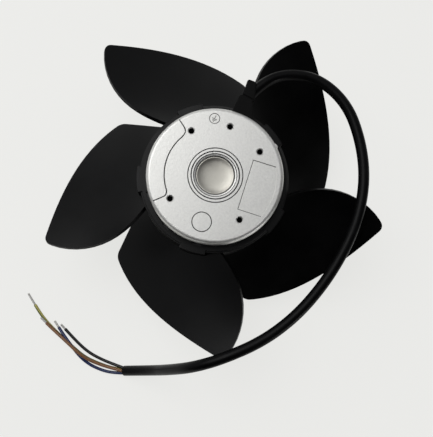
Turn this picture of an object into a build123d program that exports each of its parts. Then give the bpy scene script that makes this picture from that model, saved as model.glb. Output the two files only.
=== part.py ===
from build123d import *
import os
from math import cos, pi, radians, sin, sqrt, tan

# A small external rotor fan with a mixed flow impeller, in millimetres.
# The origin is the centre of the motor's mounting face, and +Z points out of
# that face. The motor hangs below it: the flange and all that is fixed to it
# stand still, and the rotor cup with the five blades turns about Z.

# Mounting flange, die cast in aluminium
FLANGE_RADIUS = 40.0
FLANGE_DEPTH = 8.4
FLANGE_PLATE = 3.6
FLANGE_SKIRT = 2.8
FLANGE_ROUND = 2.4
HOLE_CIRCLE_RADIUS = 29.4
HOLE_COUNT = 4
HOLE_FIRST_ANGLE = 28.0
EARTH_HOLE_TURN = 45.0
EARTH_HOLE_DISTANCE = 30.0
THREAD_CORE_RADIUS = 1.65
THREAD_DEPTH = 8.5
COUNTERSINK_RADIUS = 2.2
COUNTERSINK_DEPTH = 0.45
BOSS_RADIUS = 3.3
BOSS_DEPTH = 10.2
FLANGE_RIB_COUNT = 8
FLANGE_RIB_WIDTH = 1.6
FLANGE_RIB_DEPTH = 2.0
FACE_RECESS = 0.3
BEAD_DISTANCE = 1.6
BEAD_WIDTH = 1.3
BEAD_DEPTH = 0.5
RING_LINE_DISTANCE = 4.7
RING_LINE_WIDTH = 0.4
CRESCENT_RADIUS = 29.6
CRESCENT_MARGIN = 2.6
CRESCENT_FROM = 125.0
CRESCENT_TO = 200.0
PLATE_RECESS_ANGLE = -17.0
PLATE_RECESS_NEAR = 17.3
PLATE_RECESS_HALF = 14.6
PLATE_RECESS_MARGIN = 4.6
ROUND_PAD_RADIUS = 5.5
ROUND_PAD_DISTANCE = 27.5
ROUND_PAD_ANGLE = 252.7
RIM_NUB_RADIUS = 2.4
RIM_NUB_INSET = 1.7
RIM_NUB_ANGLE = 26.5

# Bearings, two alike, and the tube that holds them
BEARING_BORE_RADIUS = 4.0
BEARING_OUTER_RADIUS = 11.0
BEARING_WIDTH = 7.0
RACE_WALL = 1.9
BALL_RADIUS = 1.98
BALL_COUNT = 7
RACE_CLEARANCE = 0.06
CAGE_BRIDGE = 0.5
CAGE_WALL = 0.9
CAGE_POCKET_CLEARANCE = 0.15
SHIELD_THICKNESS = 0.5
SHIELD_GAP = 0.15
SHOULDER_WIDTH = 2.2
TUBE_WALL = 3.0
TUBE_COLLAR_STEP = 1.5
CAP_DEPTH = 1.2
CAP_THICKNESS = 0.8
CAP_DISH = 0.9
CAP_LIP = 1.4
SHAFT_END_GAP = 0.4
SHAFT_END_LENGTH = 0.8
RETAINER_THICKNESS = 0.9
RETAINER_WIDTH = 1.5
RETAINER_GROOVE = 0.4
SPRING_THICKNESS = 0.4
SPRING_HEIGHT = 1.1
SPRING_CLEARANCE = 0.3

# Stator, a stack of punched sheets with twelve slots
STACK_RADIUS = 34.0
STACK_HEIGHT = 28.0
STACK_DEPTH = 22.0
SLOT_COUNT = 12
BACK_IRON = 5.5
TOOTH_TIP = 3.0
TOOTH_WIDTH = 5.0
SLOT_MOUTH = 2.4
INSULATOR_THICKNESS = 1.5
INSULATOR_GAP = 0.3
INSULATOR_WALL = 1.4
END_TURN_HEIGHT = 8.0
END_TURN_CLEARANCE = 1.0
END_TURN_BULGE = 0.5
END_TURN_ROUND = 2.5
COIL_CLEARANCE = 0.35
CUTOUT_LENGTH = 13.0
CUTOUT_WIDTH = 7.0
CUTOUT_HEIGHT = 2.6
CUTOUT_ANGLE = 165.0

# Rotor, a drawn steel cup with the cage inside
AIR_GAP = 0.35
LAMINATION_WIDTH = 5.25
CUP_WALL = 1.6
CUP_CORNER = 7.0
CAGE_BAR_COUNT = 22
CAGE_BAR_RADIUS = 1.1
END_RING_HEIGHT = 4.5
END_RING_WIDTH = 4.0
HUB_CORE_RADIUS = 9.0
HUB_CORE_FLANGE_RADIUS = 15.0
HUB_CORE_FLANGE = 2.5
HUB_CORE_SETBACK = 0.3
HUB_CORE_NECK = 5.8
SHAFT_SETBACK = 1.0
LOWER_END_SPACE = 18.0

# Impeller, one moulding pressed on the cup
AXIAL_GAP = 1.6
IMPELLER_LIP = 2.0
IMPELLER_LIP_OVERHANG = 2.0
HUB_WALL = 3.2
HUB_SETBACK = 8.0
HUB_STEP_WIDTH = 0.9
HUB_STEP_DEPTH = 0.9
NOTCH_COUNT = 12
NOTCH_WIDTH = 5.0
BLADE_COUNT = 5
BLADE_ANGLE = 28.0
BLADE_CAMBER = 3.0
BLADE_HALF_CHORD = 56.0
BLADE_MIDDLE = 8.0
TIP_CORNER_ROUND = 3.0
REAR_CORNER_ROUND = 4.0
LUG_SPAN = 20.0
LUG_ANGLE = 37.0
LUG_WALL = 1.6
LUG_LENGTH = 17.0
# Each blade section: reach from the axis, height and thickness, then its slope
BLADE_SECTIONS = [(24.0, -15.5, 2.8), (42.0, -27.3, 2.5), (58.0, -33.4, 2.2), (76.0, -38.2, 1.9), (102.0, -41.8, 1.6)]
BLADE_SLOPE_ANGLES = [36.0, 30.2, 27.5, 28.0, 30.0]
# The blade's outline from above: reach from the axis, distance across
FRONT_EDGE = [(30.0, 9.0), (40.5, 27.8), (52.6, 42.6), (69.5, 51.6), (93.7, 50.9)]
TIP_EDGE = [(93.7, 50.9), (91.4, 23.1), (84.7, -5.5), (66.1, -36.3)]
REAR_EDGE_ACROSS = -35.8
BLADE_ROOT_MARGIN = 14.0

# Cable entry and boot, in the angle and places where the lead leaves
ENTRY_ANGLE = 66.5
ENTRY_WIDTH = 9.0
ENTRY_TOP = -2.7
COLLAR_WIDTH = 12.0
COLLAR_THICKNESS = 2.4
BOOT_SEAT_OVERLAP = 0.2
BOOT_TOP = -1.3
BOOT_BOTTOM = -9.3
BOOT_ROUND = 1.2
BOOT_BASE = [(7.4, 33.2), (22.4, 27.0), (22.4, 45.0), (15.0, 49.2)]
BOOT_BARREL = [(15.5, 47.0), (23.2, 44.0), (24.8, 56.2), (19.6, 58.2)]
LEAD_RADIUS = 0.8
LEAD_OFFSETS = [-1.2, -3.2, -5.2]
LEAD_DEPTH = 6.2
LEAD_BEND = 2.4
LEAD_INSET = 3.5
LEAD_BEND_SHARE = 0.9

# Lead: jacket and four cores, each a route of points chosen by hand
CABLE_RADIUS = 3.25
CABLE_CLEARANCE = 0.2
CORE_RADIUS = 1.0
CORE_END_RADIUS = 0.65
CORE_END_ROUND = 0.4
JACKET_ROUTE = [
    (18.8, 47.0, -5.4), (28.4, 57.3, -5.4), (44.0, 63.5, -5.8), (63.5, 60.5, -6.4),
    (80.0, 45.0, -6.4), (87.5, 22.2, -6.4), (89.3, -0.8, -6.4), (84.7, -23.8, -6.4),
    (74.8, -44.9, -6.4), (61.9, -64.2, -6.4), (46.0, -81.4, -6.4), (27.0, -95.0, -6.4),
    (4.5, -104.5, -6.6), (-12.5, -109.8, -12.2), (-26.0, -113.5, -31.0),
    (-38.5, -116.5, -51.5), (-56.5, -118.2, -64.5),
]
EARTH_ROUTE = [
    (-55.6, -118.1, -65.75), (-64.2, -117.0, -67.0), (-74.4, -113.5, -67.0), (-83.6, -109.2, -67.0),
    (-92.9, -101.2, -67.0), (-102.3, -92.7, -67.0), (-108.8, -86.0, -67.0),
    (-113.2, -80.4, -67.0), (-116.4, -75.3, -67.0),
]
BROWN_ROUTE = [
    (-57.4, -118.3, -63.25), (-65.5, -116.4, -64.6), (-73.2, -114.0, -64.9), (-80.8, -110.7, -64.4),
    (-86.6, -106.5, -62.7), (-93.0, -100.5, -62.7), (-99.2, -95.3, -64.4),
    (-104.2, -90.9, -64.9), (-108.3, -87.0, -64.9),
]
BLUE_ROUTE = [
    (-56.35, -119.75, -64.5), (-65.0, -119.8, -66.6), (-73.6, -117.4, -67.0), (-81.2, -113.4, -66.4),
    (-87.2, -107.6, -64.8), (-93.2, -99.7, -64.8), (-97.2, -94.8, -66.3), (-100.6, -90.0, -67.0),
]
BLACK_ROUTE = [
    (-56.65, -116.65, -64.5), (-65.0, -113.9, -66.6), (-72.6, -110.8, -67.0), (-80.4, -106.6, -67.0),
    (-88.2, -99.9, -67.0), (-96.4, -91.1, -67.0),
]
CORE_END_LENGTH = {"earth": 8.8, "brown": 5.0, "blue": 5.0, "black": 4.0}

# Each arc of a cord takes this share of the shorter run beside it
BEND_SHARE = 0.45

# Cuts run this far past the surface that they open
CUT_MARGIN = 2.0

# Radii that follow from the sizes above
shoulder_radius = BEARING_OUTER_RADIUS - SHOULDER_WIDTH
tube_radius = BEARING_OUTER_RADIUS + TUBE_WALL
tube_collar_radius = tube_radius + TUBE_COLLAR_STEP
slot_inner_radius = tube_radius + BACK_IRON
slot_outer_radius = STACK_RADIUS - TOOTH_TIP
insulator_inner_radius = tube_collar_radius + INSULATOR_GAP
end_turn_inner_radius = insulator_inner_radius + INSULATOR_WALL + END_TURN_CLEARANCE
end_turn_outer_radius = slot_outer_radius + END_TURN_BULGE
lead_landing_radius = end_turn_outer_radius - LEAD_INSET
rotor_bore_radius = STACK_RADIUS + AIR_GAP
cup_inner_radius = rotor_bore_radius + LAMINATION_WIDTH
cup_radius = cup_inner_radius + CUP_WALL
lip_radius = cup_radius - IMPELLER_LIP_OVERHANG
hub_radius = cup_radius + HUB_WALL
flange_inner_radius = FLANGE_RADIUS - FLANGE_SKIRT
collar_radius = flange_inner_radius - COLLAR_THICKNESS
ball_circle_radius = (BEARING_BORE_RADIUS + BEARING_OUTER_RADIUS) / 2

# Heights that follow from the sizes above
stack_top = -STACK_DEPTH
stack_bottom = stack_top - STACK_HEIGHT
cup_bottom = stack_bottom - LOWER_END_SPACE
cup_floor = cup_bottom + CUP_WALL
cap_bottom = -(CAP_DEPTH + CAP_DISH + CAP_THICKNESS)
shaft_end = cap_bottom - SHAFT_END_GAP
upper_bearing_top = shaft_end - SHAFT_END_LENGTH - RETAINER_THICKNESS
upper_bearing_bottom = upper_bearing_top - BEARING_WIDTH
upper_shoulder = upper_bearing_bottom - SPRING_HEIGHT
tube_end = cup_floor + HUB_CORE_FLANGE + HUB_CORE_NECK
lower_bearing_top = tube_end + BEARING_WIDTH
lip_top = -(FLANGE_DEPTH + AXIAL_GAP)
cup_rim = lip_top - IMPELLER_LIP
hub_bottom = cup_bottom + HUB_SETBACK


def polar(radius, angle):
    """A point on the plan at this distance and angle from the axis."""
    return (radius * cos(radians(angle)), radius * sin(radians(angle)))


def turned(profile):
    """A ring or disc from its half section, points of radius and height."""
    face = Plane.XZ * make_face(Polyline(*profile, close=True))
    return revolve(face, Axis.Z)


def ring(inner, outer, bottom, top):
    """A plain ring between two heights."""
    return turned([(inner, bottom), (outer, bottom), (outer, top), (inner, top)])


def disc(radius, bottom, top):
    """A plain disc about the axis between two heights."""
    return Pos(0, 0, (bottom + top) / 2) * Cylinder(radius, top - bottom)


def post(radius, place, bottom, top):
    """A round post or hole at a place of the plan."""
    return Pos(place[0], place[1], (bottom + top) / 2) * Cylinder(radius, top - bottom)


def slab(outline, bottom, top):
    """A flat shape of the plan raised between two heights."""
    return extrude(Plane.XY.offset(bottom) * outline, top - bottom)


def block_out(angle, near, far, width, bottom, top):
    """A block that lies along a ray from the axis."""
    size = (far - near, width, top - bottom)
    middle = Pos((near + far) / 2, 0, (bottom + top) / 2)
    return Rot(0, 0, angle) * middle * Box(*size)


def bend_radii(route, floor_radius):
    """Radius of the arc at each inner point of a route of straight runs."""
    radii = []
    points = [Vector(*p) for p in route]
    for before, here, after in zip(points, points[1:], points[2:]):
        run_in = here - before
        run_out = after - here
        half_turn = radians(run_in.get_angle(run_out)) / 2
        shorter = min(run_in.length, run_out.length)
        radii.append(BEND_SHARE * shorter / tan(half_turn))
    print("bend radii", [round(r, 1) for r in radii], "wanted at least", floor_radius)
    return radii


def tube(route, radius, spread=5):
    """A round cord along straight runs and the arcs between them."""
    path = FilletPolyline(*route, radius=bend_radii(route, spread * 2 * radius))
    start = path.location_at(0)
    section = start * Circle(radius)
    solid = sweep(section, path=path)
    expected = pi * radius ** 2 * path.length
    print("cord length", round(path.length, 1), "volume ratio", round(solid.volume / expected, 4))
    return solid


# Flange with the bearing tube
def stator_flange():
    profile = [
        (BEARING_OUTER_RADIUS, 0), (BEARING_OUTER_RADIUS, upper_shoulder),
        (shoulder_radius, upper_shoulder), (shoulder_radius, lower_bearing_top),
        (BEARING_OUTER_RADIUS, lower_bearing_top), (BEARING_OUTER_RADIUS, tube_end),
        (tube_radius, tube_end), (tube_radius, stack_top), (tube_collar_radius, stack_top),
        (tube_collar_radius, -FLANGE_PLATE), (flange_inner_radius, -FLANGE_PLATE),
        (flange_inner_radius, -FLANGE_DEPTH), (FLANGE_RADIUS, -FLANGE_DEPTH),
        (FLANGE_RADIUS, 0),
    ]
    body = turned(profile)
    outer_edge = body.edges().filter_by(GeomType.CIRCLE).group_by(Axis.Z)[-1].sort_by(SortBy.RADIUS)[-1]
    body = fillet(outer_edge, FLANGE_ROUND)
    nub_place = polar(FLANGE_RADIUS - RIM_NUB_INSET, RIM_NUB_ANGLE)
    body += post(RIM_NUB_RADIUS, nub_place, -FLANGE_DEPTH, -FLANGE_ROUND / 2)
    for place in hole_places():
        body += post(BOSS_RADIUS, place, -BOSS_DEPTH, -FLANGE_PLATE / 2)
    body += flange_ribs()
    for place in hole_places():
        body -= post(THREAD_CORE_RADIUS, place, -THREAD_DEPTH, 0)
        mouth = Cone(THREAD_CORE_RADIUS, COUNTERSINK_RADIUS, COUNTERSINK_DEPTH)
        body -= Pos(place[0], place[1], -COUNTERSINK_DEPTH / 2) * mouth
    return body - face_marks() - cable_entry()


def hole_places():
    """The four fixing holes, then the protective earth hole beside the first."""
    turns = [HOLE_FIRST_ANGLE + i * 360 / HOLE_COUNT for i in range(HOLE_COUNT)]
    fixing = [polar(HOLE_CIRCLE_RADIUS, turn) for turn in turns]
    return fixing + [polar(EARTH_HOLE_DISTANCE, HOLE_FIRST_ANGLE + EARTH_HOLE_TURN)]


def flange_ribs():
    """Radial ribs under the plate, from the tube's collar to the skirt."""
    pitch = 360 / FLANGE_RIB_COUNT
    turns = [HOLE_FIRST_ANGLE + (i + 0.5) * pitch for i in range(FLANGE_RIB_COUNT)]
    near = tube_radius
    far = flange_inner_radius + FLANGE_SKIRT / 2
    bottom = -FLANGE_PLATE - FLANGE_RIB_DEPTH
    return [block_out(turn, near, far, FLANGE_RIB_WIDTH, bottom, -FLANGE_PLATE / 2) for turn in turns]


def face_marks():
    """The shallow recesses and lines cast in the mounting face."""
    bead_inner = BEARING_OUTER_RADIUS + BEAD_DISTANCE
    line_inner = BEARING_OUTER_RADIUS + RING_LINE_DISTANCE
    pad = polar(ROUND_PAD_DISTANCE, ROUND_PAD_ANGLE)
    return [
        ring(bead_inner, bead_inner + BEAD_WIDTH, -BEAD_DEPTH, 0),
        ring(line_inner, line_inner + RING_LINE_WIDTH, -FACE_RECESS, 0),
        slab(crescent(), -FACE_RECESS, 0),
        slab(plate_recess(), -FACE_RECESS, 0),
        post(ROUND_PAD_RADIUS, pad, -FACE_RECESS, 0),
    ]


def cable_entry():
    """The slot in the skirt that the neck of the boot fills."""
    near = sqrt(collar_radius ** 2 - (ENTRY_WIDTH / 2) ** 2)
    return block_out(ENTRY_ANGLE, near, FLANGE_RADIUS + CUT_MARGIN, ENTRY_WIDTH, -FLANGE_DEPTH, ENTRY_TOP)


def sector(inner, outer, from_angle, to_angle):
    """A part of a flat ring between two angles."""
    middle = (from_angle + to_angle) / 2
    outer_arc = ThreePointArc(polar(outer, from_angle), polar(outer, middle), polar(outer, to_angle))
    inner_arc = ThreePointArc(polar(inner, to_angle), polar(inner, middle), polar(inner, from_angle))
    sides = [Line(outer_arc @ 1, inner_arc @ 0), Line(inner_arc @ 1, outer_arc @ 0)]
    return make_face([outer_arc, sides[0], inner_arc, sides[1]])


def crescent():
    """The lower field of the mounting face beside the rim."""
    return sector(CRESCENT_RADIUS, FLANGE_RADIUS - CRESCENT_MARGIN, CRESCENT_FROM, CRESCENT_TO)


def plate_recess():
    """The shallow field for a rating plate, ended by the round of the rim."""
    length = FLANGE_RADIUS - PLATE_RECESS_NEAR
    middle = Pos(PLATE_RECESS_NEAR + length / 2, 0)
    field = Rot(0, 0, PLATE_RECESS_ANGLE) * middle * Rectangle(length, 2 * PLATE_RECESS_HALF)
    return field & Circle(FLANGE_RADIUS - PLATE_RECESS_MARGIN)


# Bearings and what holds them
def bearing_cap():
    """A dished steel disc pressed in the mouth of the bearing tube."""
    rim = -CAP_DEPTH
    flat = BEARING_OUTER_RADIUS - CAP_LIP
    deep = rim - CAP_DISH
    dish_radius = (flat ** 2 + CAP_DISH ** 2) / (2 * CAP_DISH)
    half = flat / 2
    half_height = deep + dish_radius - sqrt(dish_radius ** 2 - half ** 2)
    under = rim - CAP_THICKNESS
    outline = [
        Line((BEARING_OUTER_RADIUS, rim), (flat, rim)),
        ThreePointArc((flat, rim), (half, half_height), (0, deep)),
        Line((0, deep), (0, cap_bottom)),
        ThreePointArc((0, cap_bottom), (half, half_height - CAP_THICKNESS), (flat, under)),
        Line((flat, under), (BEARING_OUTER_RADIUS, under)),
        Line((BEARING_OUTER_RADIUS, under), (BEARING_OUTER_RADIUS, rim)),
    ]
    return revolve(Plane.XZ * make_face(outline), Axis.Z)


def race(inner, outer, top):
    """A bearing ring with the groove that the balls run in."""
    body = ring(inner, outer, top - BEARING_WIDTH, top)
    groove = Torus(ball_circle_radius, BALL_RADIUS + RACE_CLEARANCE)
    return body - Pos(0, 0, top - BEARING_WIDTH / 2) * groove


def outer_race(top):
    return race(BEARING_OUTER_RADIUS - RACE_WALL, BEARING_OUTER_RADIUS, top)


def inner_race(top):
    return race(BEARING_BORE_RADIUS, BEARING_BORE_RADIUS + RACE_WALL, top)


def balls(top):
    middle = top - BEARING_WIDTH / 2
    spots = PolarLocations(ball_circle_radius, BALL_COUNT)
    return Compound([Pos(0, 0, middle) * spot * Sphere(BALL_RADIUS) for spot in spots])


def ball_cage(top):
    """A moulded ring with a round pocket for each ball."""
    middle = top - BEARING_WIDTH / 2
    pocket = BALL_RADIUS + CAGE_POCKET_CLEARANCE
    half_wall = CAGE_WALL / 2
    half_height = pocket + CAGE_BRIDGE
    body = ring(ball_circle_radius - half_wall, ball_circle_radius + half_wall,
                middle - half_height, middle + half_height)
    cutter = Rot(0, 90, 0) * Cylinder(pocket, 2 * CAGE_WALL)
    for spot in PolarLocations(ball_circle_radius, BALL_COUNT):
        body -= Pos(0, 0, middle) * spot * cutter
    return body


def shields(top):
    """The two pressed discs that close a bearing."""
    inner = BEARING_BORE_RADIUS + RACE_WALL + SHIELD_GAP
    outer = BEARING_OUTER_RADIUS - RACE_WALL
    bottom = top - BEARING_WIDTH
    upper = ring(inner, outer, top - SHIELD_THICKNESS, top)
    lower = ring(inner, outer, bottom, bottom + SHIELD_THICKNESS)
    return Compound([upper, lower])


def preload_spring():
    """A coned spring washer that presses the upper bearing towards the cap."""
    outer = BEARING_OUTER_RADIUS - SPRING_CLEARANCE
    inner = shoulder_radius
    low = upper_shoulder
    high = upper_bearing_bottom
    inner_edge = [(inner, low), (inner, low + SPRING_THICKNESS)]
    outer_edge = [(outer, high), (outer, high - SPRING_THICKNESS)]
    return turned(inner_edge + outer_edge)


def retaining_ring():
    """A sprung ring in the shaft's groove, open on one side."""
    top = shaft_end - SHAFT_END_LENGTH
    inner = BEARING_BORE_RADIUS - RETAINER_GROOVE
    body = ring(inner, inner + RETAINER_WIDTH, top - RETAINER_THICKNESS, top)
    gap = block_out(90, 0, BEARING_OUTER_RADIUS, RETAINER_WIDTH, top - RETAINER_THICKNESS, top)
    return body - gap


# Stator
def slot_outline(clearance):
    """The flat shape of one slot between two parallel sided teeth."""
    pitch = radians(180 / SLOT_COUNT)
    near = slot_inner_radius + clearance
    far = slot_outer_radius - clearance
    near_half = (near * sin(pitch) - TOOTH_WIDTH / 2 - clearance) / cos(pitch)
    far_half = (far * sin(pitch) - TOOTH_WIDTH / 2 - clearance) / cos(pitch)
    corners = [(near, -near_half), (far, -far_half), (far, far_half), (near, near_half)]
    return make_face(Polyline(*corners, close=True))


def all_slots(bottom, top):
    """The slots and their mouths in the face of the stack."""
    mouth_length = TOOTH_TIP + 2 * CUT_MARGIN
    mouth = Pos(slot_outer_radius + TOOTH_TIP / 2, 0) * Rectangle(mouth_length, SLOT_MOUTH)
    shape = slot_outline(0) + mouth
    cutter = slab(shape, bottom, top)
    return [Rot(0, 0, i * 360 / SLOT_COUNT) * cutter for i in range(SLOT_COUNT)]


def stator_core():
    return ring(tube_radius, STACK_RADIUS, stack_bottom, stack_top) - all_slots(stack_bottom, stack_top)


def insulator(face, direction):
    """A moulded end plate with the wall that keeps the coils off the tube."""
    edge = face + direction * INSULATOR_THICKNESS
    far = edge + direction * END_TURN_HEIGHT
    plate = ring(insulator_inner_radius, STACK_RADIUS - INSULATOR_GAP, min(face, edge), max(face, edge))
    plate -= all_slots(min(face, edge), max(face, edge))
    wall_outer = insulator_inner_radius + INSULATOR_WALL
    wall = ring(insulator_inner_radius, wall_outer, min(face, far), max(face, far))
    return plate + wall


def stator_winding():
    """Two rings of end turns joined by the wires that lie in the slots."""
    top = stack_top + INSULATOR_THICKNESS
    bottom = stack_bottom - INSULATOR_THICKNESS
    body = end_turns(top, top + END_TURN_HEIGHT)
    body += end_turns(bottom - END_TURN_HEIGHT, bottom)
    bar = slab(slot_outline(COIL_CLEARANCE), bottom - END_TURN_ROUND, top + END_TURN_ROUND)
    for i in range(SLOT_COUNT):
        body += Rot(0, 0, i * 360 / SLOT_COUNT) * bar
    return body


def end_turns(bottom, top):
    body = ring(end_turn_inner_radius, end_turn_outer_radius, bottom, top)
    return fillet(body.edges().filter_by(GeomType.CIRCLE), END_TURN_ROUND)


def thermal_cutout():
    """The small switch tied on the end turns, which opens when they run hot."""
    bottom = stack_top + INSULATOR_THICKNESS + END_TURN_HEIGHT
    body = Box(CUTOUT_WIDTH, CUTOUT_LENGTH, CUTOUT_HEIGHT)
    body = fillet(body.edges().filter_by(Axis.Z), CUTOUT_HEIGHT / 2)
    body = fillet(body.faces().sort_by(Axis.Z)[-1].edges(), CUTOUT_HEIGHT / 4)
    distance = (end_turn_inner_radius + end_turn_outer_radius) / 2
    return Rot(0, 0, CUTOUT_ANGLE) * Pos(distance, 0, bottom + CUTOUT_HEIGHT / 2) * body


def winding_leads():
    """Three wires from the cable entry down to the end turns."""
    landing = stack_top + INSULATOR_THICKNESS + END_TURN_HEIGHT
    leads = []
    for offset in LEAD_OFFSETS:
        outer_x = sqrt(collar_radius ** 2 - (abs(offset) + LEAD_RADIUS) ** 2)
        route = [(outer_x, offset, -LEAD_DEPTH), (lead_landing_radius, offset, -LEAD_DEPTH),
                 (lead_landing_radius, offset, landing)]
        bend = min(LEAD_BEND, LEAD_BEND_SHARE * (outer_x - lead_landing_radius))
        path = FilletPolyline(*route, radius=bend)
        section = Plane(origin=path @ 0, z_dir=path % 0) * Circle(LEAD_RADIUS)
        leads.append(Rot(0, 0, ENTRY_ANGLE) * sweep(section, path=path))
    return Compound(leads)


# Rotor
def shaft():
    body = disc(BEARING_BORE_RADIUS, cup_bottom + SHAFT_SETBACK, shaft_end)
    groove_top = shaft_end - SHAFT_END_LENGTH
    groove_bottom = groove_top - RETAINER_THICKNESS
    groove_floor = BEARING_BORE_RADIUS - RETAINER_GROOVE
    return body - ring(groove_floor, BEARING_BORE_RADIUS + CUT_MARGIN, groove_bottom, groove_top)


def rotor_hub():
    """The turned bush that joins the cup to the shaft."""
    bottom = cup_bottom + HUB_CORE_SETBACK
    flange_top = cup_floor + HUB_CORE_FLANGE
    profile = [
        (BEARING_BORE_RADIUS, bottom), (HUB_CORE_RADIUS, bottom), (HUB_CORE_RADIUS, cup_floor),
        (HUB_CORE_FLANGE_RADIUS, cup_floor), (HUB_CORE_FLANGE_RADIUS, flange_top),
        (BEARING_BORE_RADIUS + RACE_WALL, tube_end), (BEARING_BORE_RADIUS, tube_end),
    ]
    return turned(profile)


def rotor_cup():
    """The deep drawn cup, open towards the flange."""
    bottom = cup_bottom
    inner_corner = CUP_CORNER - CUP_WALL
    corner_turn = 1 - sqrt(0.5)
    outer_arc = ThreePointArc(
        (cup_radius - CUP_CORNER, bottom),
        (cup_radius - CUP_CORNER * corner_turn, bottom + CUP_CORNER * corner_turn),
        (cup_radius, bottom + CUP_CORNER))
    inner_arc = ThreePointArc(
        (cup_inner_radius, bottom + CUP_CORNER),
        (cup_inner_radius - inner_corner * corner_turn, cup_floor + inner_corner * corner_turn),
        (cup_inner_radius - inner_corner, cup_floor))
    outline = [
        Line((HUB_CORE_RADIUS, cup_floor), (HUB_CORE_RADIUS, bottom)),
        Line((HUB_CORE_RADIUS, bottom), outer_arc @ 0), outer_arc,
        Line(outer_arc @ 1, (cup_radius, cup_rim)),
        Line((cup_radius, cup_rim), (cup_inner_radius, cup_rim)),
        Line((cup_inner_radius, cup_rim), inner_arc @ 0), inner_arc,
        Line(inner_arc @ 1, (HUB_CORE_RADIUS, cup_floor)),
    ]
    return revolve(Plane.XZ * make_face(outline), Axis.Z)


def cage_bars(bottom, top):
    """The round bars of the squirrel cage, each in a hole of the sheets."""
    distance = cup_inner_radius - END_RING_WIDTH / 2
    turns = [i * 360 / CAGE_BAR_COUNT for i in range(CAGE_BAR_COUNT)]
    return [post(CAGE_BAR_RADIUS, polar(distance, turn), bottom, top) for turn in turns]


def rotor_laminations():
    body = ring(rotor_bore_radius, cup_inner_radius, stack_bottom, stack_top)
    return body - cage_bars(stack_bottom, stack_top)


def rotor_cage():
    """The cast squirrel cage: two end rings joined by bars."""
    inner = cup_inner_radius - END_RING_WIDTH
    body = ring(inner, cup_inner_radius, stack_top, stack_top + END_RING_HEIGHT)
    body += ring(inner, cup_inner_radius, stack_bottom - END_RING_HEIGHT, stack_bottom)
    return body + cage_bars(stack_bottom, stack_top)


# Impeller
def blade_sheet():
    """The cambered and twisted sheet that the blade is trimmed from."""
    sections = []
    for (reach, height, thickness), slope in zip(BLADE_SECTIONS, BLADE_SLOPE_ANGLES):
        plane = Plane(origin=(reach, BLADE_MIDDLE, height), x_dir=(0, 1, 0), z_dir=(1, 0, 0))
        half = BLADE_HALF_CHORD
        skin = thickness / 2
        upper = ThreePointArc((-half, skin), (0, BLADE_CAMBER + skin), (half, skin))
        lower = ThreePointArc((half, -skin), (0, BLADE_CAMBER - skin), (-half, -skin))
        edges = [upper, Line(upper @ 1, lower @ 0), lower, Line(lower @ 1, upper @ 0)]
        sections.append(plane * Rot(0, 0, slope) * make_face(edges))
    return loft(sections)


def blade_outline():
    """The blade's outline from above, with its two outer corners rounded."""
    front = Spline(*FRONT_EDGE)
    tip = Spline(*TIP_EDGE)
    rear_root = (FRONT_EDGE[0][0] - BLADE_ROOT_MARGIN, REAR_EDGE_ACROSS)
    sides = [Line(tip @ 1, rear_root), Line(rear_root, FRONT_EDGE[0])]
    face = make_face([front, tip] + sides)
    for corner, corner_round in ((TIP_EDGE[0], TIP_CORNER_ROUND), (TIP_EDGE[-1], REAR_CORNER_ROUND)):
        vertex = face.vertices().sort_by_distance((corner[0], corner[1], 0))[0]
        face = fillet(vertex, corner_round)
    return face


def blade():
    solid = blade_sheet() & slab(blade_outline(), cup_bottom, 0)
    solid -= disc(cup_radius + HUB_WALL / 2, cup_bottom, 0)
    return Rot(0, 0, BLADE_ANGLE) * solid


def root_lug():
    """The raised strip on the hub over the root of a blade."""
    strip = sector(hub_radius - HUB_WALL / 2, hub_radius + LUG_WALL,
                   LUG_ANGLE - LUG_SPAN / 2, LUG_ANGLE + LUG_SPAN / 2)
    return slab(strip, lip_top - LUG_LENGTH, lip_top)


def impeller():
    step = hub_radius - HUB_STEP_WIDTH
    profile = [
        (cup_radius, hub_bottom), (hub_radius, hub_bottom), (hub_radius, lip_top - HUB_STEP_DEPTH),
        (step, lip_top - HUB_STEP_DEPTH), (step, lip_top), (lip_radius, lip_top),
        (lip_radius, cup_rim), (cup_radius, cup_rim),
    ]
    body = turned(profile)
    for i in range(NOTCH_COUNT):
        angle = (i + 0.5) * 360 / NOTCH_COUNT
        body -= block_out(angle, lip_radius - CUT_MARGIN, cup_radius, NOTCH_WIDTH, cup_rim, lip_top)
    one_blade = blade()
    lug = root_lug()
    for i in range(BLADE_COUNT):
        turn = Rot(0, 0, i * 360 / BLADE_COUNT)
        body += turn * one_blade
        body += turn * lug
    return body


# Cable entry
def cable_boot():
    """The rubber moulding that the lead passes through, with a collar inside."""
    body = boot_block(BOOT_BASE) + boot_block(BOOT_BARREL)
    body -= disc(FLANGE_RADIUS, BOOT_BOTTOM, 0)
    body -= tube(JACKET_ROUTE[:5], CABLE_RADIUS + CABLE_CLEARANCE)
    neck_far = FLANGE_RADIUS + CUT_MARGIN
    neck = block_out(ENTRY_ANGLE, collar_radius, neck_far, ENTRY_WIDTH, -FLANGE_DEPTH, ENTRY_TOP)
    neck &= ring(collar_radius, FLANGE_RADIUS + BOOT_SEAT_OVERLAP, -FLANGE_DEPTH, 0)
    collar_near = collar_radius - CUT_MARGIN
    collar_far = flange_inner_radius + CUT_MARGIN
    collar = block_out(ENTRY_ANGLE, collar_near, collar_far, COLLAR_WIDTH, -FLANGE_DEPTH, -FLANGE_PLATE)
    collar &= ring(collar_radius, flange_inner_radius, -FLANGE_DEPTH, -FLANGE_PLATE)
    return body + neck + collar


def boot_block(outline):
    """One block of the boot, with its two outer corners rounded."""
    body = slab(make_face(Polyline(*outline, close=True)), BOOT_BOTTOM, BOOT_TOP)
    outer_edges = body.edges().filter_by(Axis.Z).sort_by(Axis.Y)[-2:]
    return fillet(outer_edges, BOOT_ROUND)


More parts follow.
